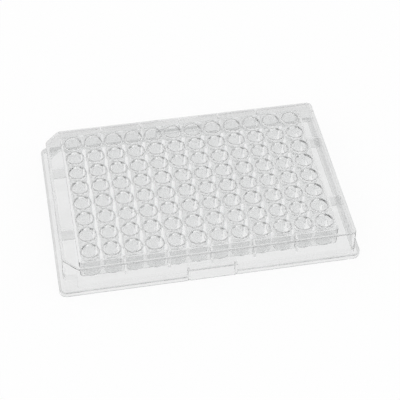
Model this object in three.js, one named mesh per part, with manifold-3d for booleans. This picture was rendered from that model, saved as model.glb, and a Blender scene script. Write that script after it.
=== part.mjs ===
// A 96-well plate: one clear plastic moulding with its wells in a 12 by 8 grid.
// Millimetres, +Z up. The origin is the centre of the footprint, on the surface the plate stands on.
import * as THREE from 'three';
import { mergeVertices } from 'three/addons/utils/BufferGeometryUtils.js';
import Module from 'manifold-3d';

// Footprint and heights
const footLength = 127.76;
const footWidth = 85.48;
const plateHeight = 14.35;
const footHeight = 2.41;
const footCornerRadius = 3.18;
const footWall = 1;
const footShelf = 1;

// Skirt: the drafted outer wall between the foot and the deck
const skirtInsetX = 2.48; // from the edge of the foot to the skirt's top edge
const skirtInsetY = 2.04;
const skirtDraft = 0.35; // how much further out the skirt stands at its lower end
const skirtWall = 1.1;
const skirtCornerRadius = 1.2; // the two corners beside the last column
const skirtInnerCornerRadius = 0.6;
const keyChamfer = 6; // the two cut corners beside the first column

// Deck: the flat top that the wells hang from
const deckThickness = 0.9;

// Wells
const wellColumns = 12;
const wellRows = 8;
const wellPitch = 9;
const wellMouthRadius = 3.45;
const wellTaper = 0.2; // how much narrower the floor is than the mouth, in radius
const wellDepth = 10.3;
const wellFloorThickness = 1;
const tubeWall = 0.68;
const tubeFootChamfer = 0.5;
const rimHeight = 0.45; // how far the rims stand above the deck
const rimWall = 0.5;
const wellSides = 8;

// Frame: the wall under the deck that runs round the whole well block
const frameGap = 0.3; // between the frame and the outermost wells
const frameWall = 0.9;
const frameDraft = 0.3; // how much the frame draws in towards its lower edge
const frameBottom = 5.1; // height of its lower edge

// Ribs between the frame and the skirt
const ribThickness = 0.9;
const ribBottom = 7;
const longSideRibs = { count: 5, wellsApart: 2 };
const shortSideRibs = { count: 2, wellsApart: 4 };

// Centre pad on each long side, flush with the foot
const padWidth = 21;
const padHeight = 6.5;
const padWall = 1;

// Extra length, so that solids that join or cut each other never only touch
const overlap = 0.4;

// Straight pieces in each rounded corner
const cornerPieces = 6;

const deckTop = plateHeight - rimHeight;
const deckUnderside = deckTop - deckThickness;
const shelfUnderside = footHeight - footShelf;
const footHalf = new THREE.Vector2(footLength / 2, footWidth / 2);
const skirtHalf = new THREE.Vector2(footHalf.x - skirtInsetX, footHalf.y - skirtInsetY);
const wellFloorRadius = wellMouthRadius - wellTaper;
const tubeRadius = wellMouthRadius + tubeWall;
const blockHalf = new THREE.Vector2(
  ((wellColumns - 1) / 2) * wellPitch + tubeRadius,
  ((wellRows - 1) / 2) * wellPitch + tubeRadius,
);
const frameHalf = blockHalf.clone().addScalar(frameGap + frameWall);

const wasm = await Module();
wasm.setup();

// A solid from a closed geometry, with its shared corners merged.
function solid(geometry) {
  geometry.deleteAttribute('normal');
  geometry.deleteAttribute('uv');
  const merged = mergeVertices(geometry);
  return new wasm.Manifold(new wasm.Mesh({
    numProp: 3,
    vertProperties: new Float32Array(merged.attributes.position.array),
    triVerts: new Uint32Array(merged.index.array),
  }));
}

// A flat outline raised from one height to another, standing out by draft at its lower end.
function raised(outline, bottom, top, draft = 0) {
  const height = top - bottom;
  const geometry = new THREE.ExtrudeGeometry(outline, {
    depth: height,
    bevelEnabled: false,
    curveSegments: cornerPieces,
  });
  geometry.translate(0, 0, bottom);
  geometry.computeBoundingBox();
  const half = geometry.boundingBox.max;
  const position = geometry.attributes.position;
  for (let i = 0; i < position.count; i += 1) {
    const lowered = (top - position.getZ(i)) / height;
    position.setX(i, position.getX(i) * (1 + (draft * lowered) / half.x));
    position.setY(i, position.getY(i) * (1 + (draft * lowered) / half.y));
  }
  return solid(geometry);
}

// A solid turned about the Z axis from [radius, height] points.
// Its flat sides enclose the same area as the round form.
function turned(points, x, y) {
  const step = (2 * Math.PI) / wellSides;
  const areaFactor = Math.sqrt(step / Math.sin(step));
  const profile = points.map(([radius, height]) => new THREE.Vector2(radius * areaFactor, height));
  const geometry = new THREE.LatheGeometry(profile, wellSides);
  geometry.rotateX(Math.PI / 2);
  geometry.rotateZ(step / 2);
  geometry.translate(x, y, 0);
  return solid(geometry);
}

function block(lowX, lowY, lowZ, highX, highY, highZ) {
  const geometry = new THREE.BoxGeometry(highX - lowX, highY - lowY, highZ - lowZ);
  geometry.translate((lowX + highX) / 2, (lowY + highY) / 2, (lowZ + highZ) / 2);
  return solid(geometry);
}

// A rectangle with all four corners rounded.
function roundedRectangle(half, radius) {
  const shape = new THREE.Shape();
  shape.moveTo(-half.x + radius, -half.y);
  shape.lineTo(half.x - radius, -half.y);
  shape.absarc(half.x - radius, -half.y + radius, radius, -Math.PI / 2, 0);
  shape.lineTo(half.x, half.y - radius);
  shape.absarc(half.x - radius, half.y - radius, radius, 0, Math.PI / 2);
  shape.lineTo(-half.x + radius, half.y);
  shape.absarc(-half.x + radius, half.y - radius, radius, Math.PI / 2, Math.PI);
  shape.lineTo(-half.x, -half.y + radius);
  shape.absarc(-half.x + radius, -half.y + radius, radius, Math.PI, 1.5 * Math.PI);
  return shape;
}

// A rectangle with the two corners at -X cut off and the two at +X rounded.
function keyedRectangle(half, chamfer, radius) {
  const shape = new THREE.Shape();
  shape.moveTo(-half.x + chamfer, -half.y);
  shape.lineTo(half.x - radius, -half.y);
  shape.absarc(half.x - radius, -half.y + radius, radius, -Math.PI / 2, 0);
  shape.lineTo(half.x, half.y - radius);
  shape.absarc(half.x - radius, half.y - radius, radius, 0, Math.PI / 2);
  shape.lineTo(-half.x + chamfer, half.y);
  shape.lineTo(-half.x, half.y - chamfer);
  shape.lineTo(-half.x, -half.y + chamfer);
  shape.closePath();
  return shape;
}

function rectangle(half) {
  const shape = new THREE.Shape();
  shape.moveTo(-half.x, -half.y);
  shape.lineTo(half.x, -half.y);
  shape.lineTo(half.x, half.y);
  shape.lineTo(-half.x, half.y);
  shape.closePath();
  return shape;
}

// Deck, skirt and foot, open underneath
function makeShell() {
  const innerHalf = skirtHalf.clone().subScalar(skirtWall);
  const chamferLoss = skirtWall * (2 - Math.SQRT2); // keeps the cut corners as thick as the walls
  const outerOutline = keyedRectangle(skirtHalf, keyChamfer, skirtCornerRadius);
  const innerOutline = keyedRectangle(innerHalf, keyChamfer - chamferLoss, skirtInnerCornerRadius);
  const outside = raised(outerOutline, shelfUnderside, deckTop, skirtDraft);
  const inside = raised(innerOutline, shelfUnderside - overlap, deckUnderside, skirtDraft);
  const foot = raised(roundedRectangle(footHalf, footCornerRadius), 0, footHeight);
  const footInside = roundedRectangle(footHalf.clone().subScalar(footWall), footCornerRadius - footWall);
  return outside.add(foot).subtract(inside).subtract(raised(footInside, -overlap, shelfUnderside));
}

// A block between two distances from the middle of the plate, on one side of it
function acrossY(side, innerY, outerY, centreX, width, bottom, top) {
  const [lowY, highY] = [side * innerY, side * outerY].sort((a, b) => a - b);
  return block(centreX - width / 2, lowY, bottom, centreX + width / 2, highY, top);
}

function acrossX(side, innerX, outerX, centreY, width, bottom, top) {
  const [lowX, highX] = [side * innerX, side * outerX].sort((a, b) => a - b);
  return block(lowX, centreY - width / 2, bottom, highX, centreY + width / 2, top);
}

// The pads in the middle of both long sides, hollow and open underneath as the skirt is
function addPads(shell) {
  const padInside = skirtHalf.y - skirtWall / 2;
  const hollowX = padWidth / 2 - padWall;
  const hollowY = footHalf.y - padWall;
  const pads = [-1, 1].map((side) => acrossY(side, padInside, footHalf.y, 0, padWidth, 0, padHeight));
  const hollow = block(-hollowX, -hollowY, -overlap, hollowX, hollowY, padHeight - padWall);
  return pads.reduce((all, pad) => all.add(pad), shell).subtract(hollow);
}

function makeFrame() {
  const insideHalf = frameHalf.clone().subScalar(frameWall);
  const top = deckUnderside + overlap;
  const outside = raised(rectangle(frameHalf), frameBottom, top, -frameDraft);
  const inside = raised(rectangle(insideHalf), frameBottom - overlap, top + overlap);
  return outside.subtract(inside);
}

// The places of ribs that stand a number of wells apart, about the middle of a side
function ribPlaces({ count, wellsApart }) {
  return Array.from({ length: count }, (_, i) => (i - (count - 1) / 2) * wellsApart * wellPitch);
}

function makeRibs() {
  const top = deckUnderside + overlap;
  const inner = frameHalf.clone().subScalar(frameWall / 2 + frameDraft);
  const outer = skirtHalf.clone().subScalar(skirtWall / 2);
  const size = [ribThickness, ribBottom, top];
  const ribs = [-1, 1].flatMap((side) => [
    ...ribPlaces(longSideRibs).map((x) => acrossY(side, inner.y, outer.y, x, ...size)),
    ...ribPlaces(shortSideRibs).map((y) => acrossX(side, inner.x, outer.x, y, ...size)),
  ]);
  return ribs.reduce((all, rib) => all.add(rib));
}

// One solid at every well, joined together
function atWells(points) {
  const wells = [];
  for (let column = 0; column < wellColumns; column += 1) {
    for (let row = 0; row < wellRows; row += 1) {
      const x = (column - (wellColumns - 1) / 2) * wellPitch;
      const y = ((wellRows - 1) / 2 - row) * wellPitch;
      wells.push(turned(points, x, y));
    }
  }
  return wells.reduce((all, well) => all.add(well));
}

// The outsides of the wells: tubes that narrow downwards, and rims above the deck
function makeTubes() {
  const floor = plateHeight - wellDepth;
  const underside = floor - wellFloorThickness;
  const footRadius = wellFloorRadius + tubeWall;
  const rimRadius = wellMouthRadius + rimWall;
  const inDeck = deckUnderside + deckThickness / 2;
  return atWells([
    [0, underside],
    [footRadius - tubeFootChamfer, underside],
    [footRadius, underside + tubeFootChamfer],
    [tubeRadius, inDeck],
    [rimRadius, inDeck],
    [rimRadius, plateHeight],
    [0, plateHeight],
  ]);
}

// The insides of the wells, with flat floors
function makeBores() {
  const floor = plateHeight - wellDepth;
  return atWells([
    [0, floor],
    [wellFloorRadius, floor],
    [wellMouthRadius, plateHeight],
    [wellMouthRadius, plateHeight + overlap],
    [0, plateHeight + overlap],
  ]);
}

function meshOf(name, body, material) {
  const { vertProperties, triVerts } = body.getMesh();
  const geometry = new THREE.BufferGeometry();
  geometry.setAttribute('position', new THREE.BufferAttribute(vertProperties, 3));
  geometry.setIndex(new THREE.BufferAttribute(triVerts, 1));
  geometry.computeVertexNormals();
  const mesh = new THREE.Mesh(geometry, material);
  mesh.name = name;
  return mesh;
}

const clearPlastic = new THREE.MeshStandardMaterial({
  color: 0xe9eced,
  roughness: 0.08,
  metalness: 0,
  transparent: true,
  opacity: 0.35,
});

const body = addPads(makeShell())
  .add(makeFrame())
  .add(makeRibs())
  .add(makeTubes())
  .subtract(makeBores());

const plate = new THREE.Group();
plate.add(meshOf('well_plate', body, clearPlastic));

export default plate;
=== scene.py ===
from math import cos, pi, radians, sin, tan

import bmesh
import bpy
from mathutils import Matrix, Vector


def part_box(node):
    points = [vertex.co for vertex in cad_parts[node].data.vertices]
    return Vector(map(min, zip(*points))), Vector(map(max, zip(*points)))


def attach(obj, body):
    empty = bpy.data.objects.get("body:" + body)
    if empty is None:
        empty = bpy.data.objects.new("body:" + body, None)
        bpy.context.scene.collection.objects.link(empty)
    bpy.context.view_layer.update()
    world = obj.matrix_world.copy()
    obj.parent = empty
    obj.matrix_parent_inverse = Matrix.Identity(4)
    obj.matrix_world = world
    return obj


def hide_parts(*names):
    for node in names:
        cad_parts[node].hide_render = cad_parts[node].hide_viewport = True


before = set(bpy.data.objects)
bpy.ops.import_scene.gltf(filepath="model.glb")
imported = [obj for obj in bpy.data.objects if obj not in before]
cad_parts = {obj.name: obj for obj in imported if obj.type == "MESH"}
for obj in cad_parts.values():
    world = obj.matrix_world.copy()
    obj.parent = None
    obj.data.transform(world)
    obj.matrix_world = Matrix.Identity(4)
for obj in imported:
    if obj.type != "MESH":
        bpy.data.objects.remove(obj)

# A clear 96-well plate, moulded in one piece, on a pale studio floor.
# Metres, +Z up, with the origin in the middle of the footprint.

mm = 0.001
scene = bpy.context.scene
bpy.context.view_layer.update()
plateLow, plateHigh = (Vector(corner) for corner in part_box("well_plate"))
plateHalf = (plateHigh - plateLow) / 2
plateTop = plateHigh.z
past = 0.4 * mm        # extra length, so that solids that join or cut never only touch
hair = 0.02 * mm       # allowance when faces are picked by where they are
near = 0.001 * mm      # allowance when corners and edges are picked by where they are


# modelling helpers

def asObject(name, bm):
    bmesh.ops.recalc_face_normals(bm, faces=bm.faces)
    mesh = bpy.data.meshes.new(name)
    bm.to_mesh(mesh)
    bm.free()
    made = bpy.data.objects.new(name, mesh)
    scene.collection.objects.link(made)
    return made


def roundEdges(bm, edges, radius, segments=3):
    bmesh.ops.bevel(bm, geom=edges, offset=radius, offset_type="OFFSET", affect="EDGES",
                    segments=segments, profile=0.5, material=-1, clamp_overlap=True)


def roundCorners(bm, corners, radius, segments):
    # one segment cuts the corner straight
    bmesh.ops.bevel(bm, geom=corners, offset=radius, offset_type="OFFSET", affect="VERTICES",
                    segments=segments, profile=0.5, material=-1, clamp_overlap=True)


def cornersAt(bm, x):
    return [v for v in bm.verts if abs(v.co.x - x) < near]


def edgesAt(bm, height):
    return [e for e in bm.edges if all(abs(v.co.z - height) < near for v in e.verts)]


def flatOutline(halfX, halfY, height):
    bm = bmesh.new()
    bmesh.ops.create_grid(bm, x_segments=1, y_segments=1, size=1)
    bmesh.ops.scale(bm, verts=bm.verts, vec=(halfX, halfY, 1))
    bmesh.ops.translate(bm, verts=bm.verts, vec=(0, 0, height))
    return bm


def lowered(bm, drop, spread=(1, 1, 1)):
    # pulls the flat faces down into a solid, with its lower end spread wider
    made = bmesh.ops.extrude_face_region(bm, geom=bm.faces[:], use_keep_orig=True)["geom"]
    low = [part for part in made if isinstance(part, bmesh.types.BMVert)]
    bmesh.ops.translate(bm, verts=low, vec=(0, 0, -drop))
    bmesh.ops.scale(bm, verts=low, vec=spread)
    bmesh.ops.recalc_face_normals(bm, faces=bm.faces)


def roundedBlock(name, low, high, radius):
    bm = bmesh.new()
    bmesh.ops.create_cube(bm, size=1)
    bmesh.ops.scale(bm, verts=bm.verts, vec=high - low)
    bmesh.ops.translate(bm, verts=bm.verts, vec=(low + high) / 2)
    if radius:
        roundEdges(bm, bm.edges[:], radius)
    return asObject(name, bm)


def blockAcross(name, axis, side, inner, outer, centre, width, bottom, top, radius=0):
    # a block between two distances from the middle of the plate, on one side of it
    ends = sorted((side * inner, side * outer))
    sides = (centre - width / 2, centre + width / 2)
    spans = (ends, sides) if axis == "X" else (sides, ends)
    low = Vector((spans[0][0], spans[1][0], bottom))
    high = Vector((spans[0][1], spans[1][1], top))
    return roundedBlock(name, low, high, radius)


def filleted(points, steps=3):
    # a profile of (distance, height, radius) corners, as points with round corners
    path = []
    for i, (x, z, radius) in enumerate(points):
        here = Vector((x, 0, z))
        if not radius:
            path.append(here)
            continue
        before = (Vector((points[i - 1][0], 0, points[i - 1][1])) - here).normalized()
        after = (Vector((points[i + 1][0], 0, points[i + 1][1])) - here).normalized()
        leg = radius / tan(before.angle(after) / 2)
        middle = here + (before + after).normalized() * (leg ** 2 + radius ** 2) ** 0.5
        start = (here + before * leg - middle).normalized()
        end = (here + after * leg - middle).normalized()
        path.append(middle + start * radius)
        path += [middle + start.slerp(end, step / steps) * radius for step in range(1, steps)]
        path.append(middle + end * radius)
    return path


def spinProfile(bm, points, segments):
    # a surface turned about the upright axis from a profile with round corners
    corners = [bm.verts.new(p) for p in filleted(points)]
    edges = [bm.edges.new(pair) for pair in zip(corners, corners[1:])]
    bmesh.ops.spin(bm, geom=corners + edges, cent=(0, 0, 0), axis=(0, 0, 1), angle=2 * pi,
                   steps=segments, use_merge=True)
    bmesh.ops.remove_doubles(bm, verts=bm.verts, dist=1e-7)


def squareRound(bm, height, size):
    # fills between the open rim at this height and a square around it
    rim = [e for e in edgesAt(bm, height) if e.is_boundary]
    corners = bmesh.ops.create_grid(bm, x_segments=1, y_segments=1, size=size / 2,
                                    matrix=Matrix.Translation((0, 0, height)))["verts"]
    square = corners[0].link_faces[0]
    sides = square.edges[:]
    bmesh.ops.delete(bm, geom=[square], context="FACES_ONLY")
    bmesh.ops.bridge_loops(bm, edges=sides + rim)


def repeated(bm, places):
    # copies of everything in the mesh, with the first one moved to the first place
    single = bm.verts[:] + bm.edges[:] + bm.faces[:]
    for place in places[1:]:
        copy = bmesh.ops.duplicate(bm, geom=single)["geom"]
        bmesh.ops.translate(bm, verts=[p for p in copy if isinstance(p, bmesh.types.BMVert)], vec=place)
    bmesh.ops.translate(bm, verts=[p for p in single if isinstance(p, bmesh.types.BMVert)], vec=places[0])
    bmesh.ops.remove_doubles(bm, verts=bm.verts, dist=near)


def combine(piece, tool, operation):
    # joins the tool to the piece, or cuts it out
    change = piece.modifiers.new(operation, "BOOLEAN")
    change.operation = operation
    change.solver = "MANIFOLD"
    change.object = tool
    graph = bpy.context.evaluated_depsgraph_get()
    result = bpy.data.meshes.new_from_object(piece.evaluated_get(graph))
    piece.modifiers.clear()
    old = piece.data
    piece.data = result
    result.name = old.name + "_" + operation
    bpy.data.meshes.remove(old)
    toolMesh = tool.data
    bpy.data.objects.remove(tool)
    bpy.data.meshes.remove(toolMesh)
    return piece


# the moulding

foot = {
    "height": 2.41 * mm,
    "cornerRadius": 3.18 * mm,
    "wall": 1.0 * mm,
    "shelf": 1.0 * mm,
    "topRound": 0.3 * mm,
    "bottomRound": 0.06 * mm,
    "cornerSegments": 8,
}

skirt = {
    "insetX": 2.48 * mm,
    "insetY": 2.04 * mm,
    "draft": 0.35 * mm,
    "wall": 1.1 * mm,
    "cornerRadius": 2.2 * mm,
    "keyChamfer": 6.0 * mm,
    "keyRound": 3.0 * mm,
    "leastRound": 0.3 * mm,
    "topRound": 0.35 * mm,
    "insideRound": 0.35 * mm,
}

deck = {"thickness": 0.9 * mm}

wells = {
    "columns": 12,
    "rows": 8,
    "pitch": 9.0 * mm,
    "mouthRadius": 3.45 * mm,
    "floorRadius": 3.25 * mm,
    "depth": 10.3 * mm,
    "floorThickness": 1.0 * mm,
    "floorRound": 0.4 * mm,
    "tubeWall": 0.68 * mm,
    "tubeRound": 0.5 * mm,
    "rimHeight": 0.45 * mm,
    "rimWall": 0.5 * mm,
    "rimRound": 0.22 * mm,
    "rimFillet": 0.08 * mm,
    "ledge": 0.25 * mm,        # how far the slab of wells reaches into the deck around it
    "segments": 40,
}

innerFrame = {
    "gap": 0.3 * mm,
    "wall": 0.9 * mm,
    "draft": 0.3 * mm,
    "bottom": 5.1 * mm,
    "edgeRound": 0.2 * mm,
    "cornerRadius": 1.6 * mm,
}

ribs = {
    "thickness": 0.9 * mm,
    "bottom": 7.0 * mm,
    "longSide": (-36.0, -18.0, 0.0, 18.0, 36.0),
    "shortSide": (-18.0, 18.0),
}

pads = {
    "width": 21.0 * mm,
    "height": 6.5 * mm,
    "wall": 1.0 * mm,
    "edgeRound": 0.25 * mm,
}

deckTop = plateTop - wells["rimHeight"]
deckUnderside = deckTop - deck["thickness"]
shelfUnderside = foot["height"] - foot["shelf"]
skirtX = plateHalf.x - skirt["insetX"]
skirtY = plateHalf.y - skirt["insetY"]
tubeRadius = wells["mouthRadius"] + wells["tubeWall"]
frameX = (wells["columns"] - 1) / 2 * wells["pitch"] + tubeRadius + innerFrame["gap"] + innerFrame["wall"]
frameY = (wells["rows"] - 1) / 2 * wells["pitch"] + tubeRadius + innerFrame["gap"] + innerFrame["wall"]


def keyedSolid(name, inset, bottom, top, edgeRound):
    # a drafted block with the two corners at -X cut and the two at +X rounded
    halfX, halfY = skirtX - inset, skirtY - inset
    bm = flatOutline(halfX, halfY, top)
    roundCorners(bm, cornersAt(bm, halfX), max(skirt["cornerRadius"] - inset, skirt["leastRound"]), 5)
    cut = skirt["keyChamfer"] - inset * (2 - 2 ** 0.5)
    roundCorners(bm, cornersAt(bm, -halfX), cut, 1)
    soften = (skirt["keyRound"] - inset) * tan(pi / 8)
    roundCorners(bm, [v for v in bm.verts if v.co.x < cut - halfX + near], soften, 6)
    spread = (1 + skirt["draft"] / halfX, 1 + skirt["draft"] / halfY, 1)
    lowered(bm, top - bottom, spread)
    roundEdges(bm, edgesAt(bm, top), edgeRound)
    return asObject(name, bm)


def footSolid(name, inset, bottom, top, topRound, bottomRound=0):
    bm = flatOutline(plateHalf.x - inset, plateHalf.y - inset, top)
    roundCorners(bm, bm.verts[:], foot["cornerRadius"] - inset, foot["cornerSegments"])
    lowered(bm, top - bottom)
    roundEdges(bm, edgesAt(bm, top), topRound)
    if bottomRound:
        roundEdges(bm, edgesAt(bm, bottom), bottomRound)
    return asObject(name, bm)


def makeShell():
    # deck, skirt and foot, hollow underneath
    shell = keyedSolid("moulding", 0, shelfUnderside, deckTop, skirt["topRound"])
    combine(shell, footSolid("foot", 0, 0, foot["height"], foot["topRound"], foot["bottomRound"]), "UNION")
    combine(shell, keyedSolid("skirtInside", skirt["wall"], shelfUnderside - past, deckUnderside,
                              skirt["insideRound"]), "DIFFERENCE")
    combine(shell, footSolid("footInside", foot["wall"], -past, shelfUnderside, foot["bottomRound"]),
            "DIFFERENCE")
    return shell


def addPads(shell):
    # a hollow pad in the middle of each long side, flush with the foot
    for side in (-1, 1):
        pad = blockAcross("pad", "Y", side, skirtY - skirt["wall"] / 2, plateHalf.y, 0, pads["width"],
                          -pads["edgeRound"] - past, pads["height"], pads["edgeRound"])
        combine(shell, pad, "UNION")
    below = roundedBlock("below", Vector((-plateHalf.x, -2 * plateHalf.y, -9 * past)),
                         Vector((plateHalf.x, 2 * plateHalf.y, 0)), 0)
    combine(shell, below, "DIFFERENCE")
    half = Vector((pads["width"] / 2 - pads["wall"], plateHalf.y - pads["wall"], 0))
    hollow = roundedBlock("hollow", Vector((-half.x, -half.y, -2 * past)),
                          Vector((half.x, half.y, pads["height"] - pads["wall"])), 0)
    combine(shell, hollow, "DIFFERENCE")


def makeFrameWall():
    # the wall under the deck that runs round all the wells
    top = deckUnderside + deck["thickness"] / 2
    bm = flatOutline(frameX, frameY, top)
    roundCorners(bm, bm.verts[:], innerFrame["cornerRadius"], 6)
    bmesh.ops.inset_region(bm, faces=bm.faces[:], thickness=innerFrame["wall"], use_even_offset=True,
                           use_boundary=True)
    middle = [f for f in bm.faces if f.calc_center_median().length_squared < top ** 2 * 1.01]
    bmesh.ops.delete(bm, geom=middle, context="FACES")
    draft = innerFrame["draft"]
    lowered(bm, top - innerFrame["bottom"], (1 - draft / frameX, 1 - draft / frameY, 1))
    roundEdges(bm, edgesAt(bm, innerFrame["bottom"]), innerFrame["edgeRound"])
    return asObject("frameWall", bm)


def makeRibs(shell):
    inside = innerFrame["wall"] / 2 + innerFrame["draft"]
    top = deckUnderside + deck["thickness"] / 2
    for side in (-1, 1):
        for x in ribs["longSide"]:
            combine(shell, blockAcross("rib", "Y", side, frameY - inside, skirtY - skirt["wall"] / 2, x * mm,
                                       ribs["thickness"], ribs["bottom"], top), "UNION")
        for y in ribs["shortSide"]:
            combine(shell, blockAcross("rib", "X", side, frameX - inside, skirtX - skirt["wall"] / 2, y * mm,
                                       ribs["thickness"], ribs["bottom"], top), "UNION")


def wellPlaces():
    middleColumn, middleRow = (wells["columns"] - 1) / 2, (wells["rows"] - 1) / 2
    return [Vector(((column - middleColumn) * wells["pitch"], (middleRow - row) * wells["pitch"], 0))
            for row in range(wells["rows"]) for column in range(wells["columns"])]


def makeWellField():
    # a slab of deck with all its wells: one square cell, repeated and closed round its edge
    floor = plateTop - wells["depth"]
    underside = floor - wells["floorThickness"]
    mouth, rim = wells["mouthRadius"], wells["mouthRadius"] + wells["rimWall"]
    footRadius = wells["floorRadius"] + wells["tubeWall"]
    bm = bmesh.new()
    spinProfile(bm, [(0, floor, 0), (wells["floorRadius"], floor, wells["floorRound"]),
                     (mouth, plateTop, wells["rimRound"]), (rim, plateTop, wells["rimRound"]),
                     (rim, deckTop, wells["rimFillet"]), (rim + 2 * wells["rimFillet"], deckTop, 0)],
                wells["segments"])
    squareRound(bm, deckTop, wells["pitch"])
    spinProfile(bm, [(0, underside, 0), (footRadius, underside, wells["tubeRound"]),
                     (tubeRadius, deckUnderside, 0)], wells["segments"])
    squareRound(bm, deckUnderside, wells["pitch"])
    repeated(bm, wellPlaces())
    bmesh.ops.bridge_loops(bm, edges=[e for e in bm.edges if e.is_boundary])
    return asObject("wellField", bm)


def addWells(shell):
    half = Vector((wells["columns"] * wells["pitch"], wells["rows"] * wells["pitch"])) / 2
    half -= Vector((wells["ledge"], wells["ledge"]))
    opening = roundedBlock("opening", Vector((-half.x, -half.y, deckUnderside - past)),
                           Vector((half.x, half.y, deckTop + past)), 0)
    combine(shell, opening, "DIFFERENCE")
    combine(shell, makeWellField(), "UNION")


def finishMesh(piece, sharpAngle=40):
    # many-sided faces cut into triangles, round faces smooth and flat ones flat
    bm = bmesh.new()
    bm.from_mesh(piece.data)
    bmesh.ops.dissolve_degenerate(bm, edges=bm.edges, dist=1e-7)
    bmesh.ops.triangulate(bm, faces=[f for f in bm.faces if len(f.verts) > 4])
    for face in bm.faces:
        face.smooth = True
    for edge in bm.edges:
        edge.smooth = len(edge.link_faces) == 2 and edge.calc_face_angle(0) < radians(sharpAngle)
    bm.to_mesh(piece.data)
    bm.free()
    even = piece.modifiers.new("EvenNormals", "WEIGHTED_NORMAL")
    even.keep_sharp = True


# amounts of painted shade on the rims' tops, the foot's base and the deck's round edge, and the tilts that
# pick faces
marks = {
    "rim": 1.8,                # painted shade: how far these faces are darkened below the rest, set by trial
    "base": 0.8,
    "edge": 0.6,
    "rimTilt": 0.3,            # a rim's top faces up more than this
    "edgeTilt": 0.97,          # the round of the deck's edge faces up less than this
    "wallTilt": 0.5,
}


def markFaces(mesh):
    # the painted light and shade: 1 on the wells and all that is inside the frame wall, painted paler, 0
    # around it, and below 0, painted shade, on the tops of the rims, the foot's base and the round of the
    # deck's edge, set by trial
    # satin: 1 on the frame wall and the deck's underside, which the mould leaves satin
    block = mesh.attributes.new("block", "FLOAT", "FACE")
    satin = mesh.attributes.new("satin", "FLOAT", "FACE")
    thick = innerFrame["wall"] + innerFrame["draft"] + hair
    for face, paintedLevel, isSatin in zip(mesh.polygons, block.data, satin.data):
        x, y, z = face.center
        within = abs(x) < frameX + hair and abs(y) < frameY + hair
        onWall = z < deckUnderside + hair and (abs(x) > frameX - thick or abs(y) > frameY - thick)
        onRim = within and z > plateTop - wells["rimRound"] and face.normal.z > marks["rimTilt"]
        onBase = z < foot["bottomRound"] + hair
        onEdge = not within and z > deckTop - skirt["topRound"] and face.normal.z < marks["edgeTilt"]
        # painted shade on the rims' tops, the foot's base and the deck's round edge; painted light inside the
        # frame wall
        paintedLevel.value = within - marks["rim"] * onRim - marks["base"] * onBase - marks["edge"] * onEdge
        under = abs(z - deckUnderside) < hair
        isSatin.value = float(within and (under or (onWall and abs(face.normal.z) < marks["wallTilt"])))


def makePlate():
    plate = makeShell()
    addPads(plate)
    combine(plate, makeFrameWall(), "UNION")
    makeRibs(plate)
    addWells(plate)
    finishMesh(plate)
    markFaces(plate.data)
    plate.name = "moulded_plate"
    return plate


# materials

class Wire:
    # an output of a node that can be used in ordinary sums
    def __init__(self, nodes, socket):
        self.nodes = nodes
        self.socket = socket

    def maths(self, operation, *values):
        return self.nodes.add("ShaderNodeMath", {"operation": operation}, dict(enumerate(values)))

    def __add__(self, other):
        return self.maths("ADD", self, other)

    def __radd__(self, other):
        return self.maths("ADD", other, self)

    def __sub__(self, other):
        return self.maths("SUBTRACT", self, other)

    def __rsub__(self, other):
        return self.maths("SUBTRACT", other, self)

    def __mul__(self, other):
        return self.maths("MULTIPLY", self, other)

    def __rmul__(self, other):
        return self.maths("MULTIPLY", other, self)


class Nodes:
    # the nodes of one material or world
    def __init__(self, owner):
        owner.use_nodes = True
        self.tree = owner.node_tree
        self.tree.nodes.clear()

    def add(self, kind, settings=None, values=None, output=0):
        node = self.tree.nodes.new(kind)
        for setting, value in (settings or {}).items():
            if setting == "stops":
                self.setStops(node.color_ramp, value)
            else:
                setattr(node, setting, value)
        for name, value in (values or {}).items():
            if isinstance(value, Wire):
                self.tree.links.new(value.socket, node.inputs[name])
            else:
                node.inputs[name].default_value = value
        return Wire(self, node.outputs[output]) if len(node.outputs) else None

    def setStops(self, ramp, stops):
        while len(ramp.elements) < len(stops):
            ramp.elements.new(1)
        for element, (position, colour) in zip(ramp.elements, stops):
            element.position = position
            element.color = (*colour, 1)


def grey(level):
    return (level, level, level, 1)


polystyrene = {
    "ior": 1.59,
    "clearest": (0.866, 0.869, 0.869),     # the walls around lie between these two
    "dullest": (0.835, 0.838, 0.838),
    "smoothest": 0.015,
    "roughest": 0.06,
    # painted light: the wells and all inside the frame wall are painted this paler grey than the walls around
    "paintedLightColour": (0.917, 0.92, 0.92),
    # painted shade: the rims' tops, the foot's base and the deck's round edge are painted this dark grey
    "paintedShadeColour": (0.62, 0.623, 0.623),
    "depthColour": (0.9, 0.9, 0.9, 1),
    "depthDensity": 40,        # how fast long ways through the plastic darken, set by trial
    "satin": 0.05,             # roughness of the frame wall and the deck's underside
    "flowScale": 45,           # slow waves left where the plastic flowed, per metre
    "flowStretch": (1, 2.6, 1),
    "grainScale": 900,         # fine polish of the mould
    "flowDepth": 0.02 * mm,
    "grainShare": 0.12,
    "flowStrength": 0.25,
    "flowTint": 0.65,          # how far the flow and the painted light and shade move along the colours
    "paintedTint": 0.4,
}


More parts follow.
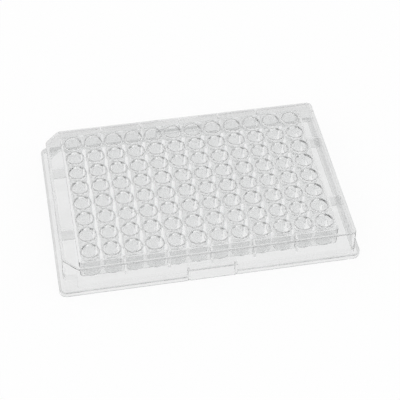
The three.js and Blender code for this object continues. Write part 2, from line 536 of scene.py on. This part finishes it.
def clearPlastic():
    look = polystyrene
    material = bpy.data.materials.new("clear_polystyrene")
    nodes = Nodes(material)
    place = nodes.add("ShaderNodeTexCoord", output="Object")
    along = nodes.add("ShaderNodeMapping", values={"Vector": place, "Scale": look["flowStretch"]})
    flow = nodes.add("ShaderNodeTexNoise", values={"Vector": along, "Scale": look["flowScale"], "Detail": 3,
                                                   "Roughness": 0.45, "Distortion": 0.8})
    grain = nodes.add("ShaderNodeTexNoise", values={"Vector": place, "Scale": look["grainScale"], "Detail": 2,
                                                    "Roughness": 0.5})
    satin = nodes.add("ShaderNodeAttribute", {"attribute_name": "satin"}, output="Fac")
    # the painted light and shade that markFaces sets on each face
    block = nodes.add("ShaderNodeAttribute", {"attribute_name": "block"}, output="Fac")
    # from darkest to palest: painted shade, the walls' own greys, painted light
    stops = [(0.05, look["paintedShadeColour"]), (0.2, look["dullest"]), (0.4, look["clearest"]),
             (0.65, look["paintedLightColour"])]
    colour = nodes.add("ShaderNodeValToRGB", {"stops": stops},
                       {"Fac": flow * look["flowTint"] + block * look["paintedTint"]})
    polish = look["smoothest"] + (look["roughest"] - look["smoothest"]) * flow * grain
    roughness = polish + satin * (look["satin"] * (0.8 + 0.4 * grain) - polish)
    height = flow + grain * look["grainShare"]
    bump = nodes.add("ShaderNodeBump", values={"Height": height, "Strength": look["flowStrength"],
                                               "Distance": look["flowDepth"]})
    glass = nodes.add("ShaderNodeBsdfPrincipled", values={
        "Base Color": colour, "Roughness": roughness, "Normal": bump, "IOR": look["ior"],
        "Transmission Weight": 1.0, "Metallic": 0.0})
    depth = nodes.add("ShaderNodeVolumeAbsorption", values={"Color": look["depthColour"],
                                                            "Density": look["depthDensity"]})
    nodes.add("ShaderNodeOutputMaterial", values={"Surface": glass, "Volume": depth})
    return material


# the studio

studio = {
    "floorSize": 6.0,
    "floorDrop": 0.05 * mm,    # the floor is a hair below the foot
    "floorColour": (0.955, 0.955, 0.955),
    "floorGlow": 0.93,         # how much of what the camera sees of the floor is plain white
    "glowLevel": 0.994,        # a hair below white, so that little of the floor clips
    "skyLevel": 0.88,
    "mottle": 0.012,           # how much paler the floor's palest patches are
    "lightBounces": 48,        # light runs a long way inside the deck and the rims
    "transparentBounces": 16,
}

lamps = [
    # name, place, aim, size, watts
    ("topBox", (-0.2, -0.7, 1.5), (0, 0, 0), 1.6, 2.5),
    ("backBox", (-1.0, 1.2, 1.1), (0, 0, 0), 1.2, 1.5),
    ("frontBox", (-0.9, -1.1, 1.1), (0, 0, 0), 1.0, 1.0),
    ("sideBox", (1.3, -0.2, 0.9), (0, 0, 0), 0.9, 0.8),
]


def seenRays(nodes):
    # 1 for what the camera sees, straight or through plastic
    camera = nodes.add("ShaderNodeLightPath", output="Is Camera Ray")
    mirrored = nodes.add("ShaderNodeLightPath", output="Is Glossy Ray")
    through = nodes.add("ShaderNodeLightPath", output="Is Transmission Ray")
    return camera.maths("MAXIMUM", camera, mirrored.maths("MAXIMUM", mirrored, through))


def makeFloor():
    bm = bmesh.new()
    bmesh.ops.create_circle(bm, cap_ends=True, radius=studio["floorSize"] / 2, segments=64)
    bmesh.ops.translate(bm, verts=bm.verts, vec=(0, 0, plateLow.z - studio["floorDrop"]))
    floor = asObject("floor", bm)
    material = bpy.data.materials.new("pale_floor")
    nodes = Nodes(material)
    place = nodes.add("ShaderNodeTexCoord", output="Object")
    mottle = nodes.add("ShaderNodeTexNoise", values={"Vector": place, "Scale": 30, "Detail": 4})
    paler = tuple(min(1, c + studio["mottle"]) for c in studio["floorColour"])
    colour = nodes.add("ShaderNodeValToRGB", {"stops": [(0.3, studio["floorColour"]), (0.7, paler)]},
                       {"Fac": mottle})
    matt = nodes.add("ShaderNodeBsdfDiffuse", values={"Color": colour, "Roughness": 0.6})
    glow = nodes.add("ShaderNodeEmission", values={"Color": grey(studio["glowLevel"]), "Strength": 1})
    share = seenRays(nodes) * studio["floorGlow"]
    surface = nodes.add("ShaderNodeMixShader", values={"Fac": share, 1: matt, 2: glow})
    nodes.add("ShaderNodeOutputMaterial", values={"Surface": surface})
    floor.data.materials.append(material)
    return floor


def makeSky():
    scene.world = bpy.data.worlds.new("studioSky")
    nodes = Nodes(scene.world)
    sky = nodes.add("ShaderNodeBackground", values={"Color": grey(1), "Strength": studio["skyLevel"]})
    white = nodes.add("ShaderNodeBackground", values={"Color": grey(1), "Strength": 1})
    camera = nodes.add("ShaderNodeLightPath", output="Is Camera Ray")
    surface = nodes.add("ShaderNodeMixShader", values={"Fac": camera, 1: sky, 2: white})
    nodes.add("ShaderNodeOutputWorld", values={"Surface": surface})


def makeLamps():
    for name, place, aim, size, watts in lamps:
        light = bpy.data.lights.new(name, "AREA")
        light.shape = "SQUARE"
        light.size = size
        light.energy = watts
        lamp = bpy.data.objects.new(name, light)
        lamp.location = place
        lamp.rotation_euler = (Vector(place) - Vector(aim)).to_track_quat("Z", "Y").to_euler()
        scene.collection.objects.link(lamp)


view = {
    "lens": 108.85,
    "distance": 524.554 * mm,
    "turn": -11.289,           # degrees round from the front
    "rise": 47.502,
    "roll": 1.202,
    "aim": Vector((1.283, -5.087, 0)) * mm,
}


def makeCamera():
    turn, rise = radians(view["turn"]), radians(view["rise"])
    out = Vector((sin(turn) * cos(rise), -cos(turn) * cos(rise), sin(rise)))
    middle = (plateLow + plateHigh) / 2 + view["aim"]
    lens = bpy.data.cameras.new("studioCamera")
    lens.lens = view["lens"]
    lens.clip_start = 0.01
    camera = bpy.data.objects.new("studioCamera", lens)
    facing = out.to_track_quat("Z", "Y").to_matrix() @ Matrix.Rotation(radians(view["roll"]), 3, "Z")
    camera.matrix_world = Matrix.LocRotScale(middle + out * view["distance"], facing, None)
    scene.collection.objects.link(camera)
    scene.camera = camera


plate = makePlate()
plate.data.materials.clear()
plate.data.materials.append(clearPlastic())
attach(plate, "root")
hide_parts("well_plate")
print("plate:", len(plate.data.polygons), "faces")

makeFloor()
makeSky()
makeLamps()
makeCamera()
scene.view_settings.view_transform = "Standard"
scene.cycles.max_bounces = studio["lightBounces"]
scene.cycles.transmission_bounces = studio["lightBounces"]
scene.cycles.glossy_bounces = studio["lightBounces"]
scene.cycles.transparent_max_bounces = studio["transparentBounces"]
print("studio: floor,", len(lamps), "lamps and camera")
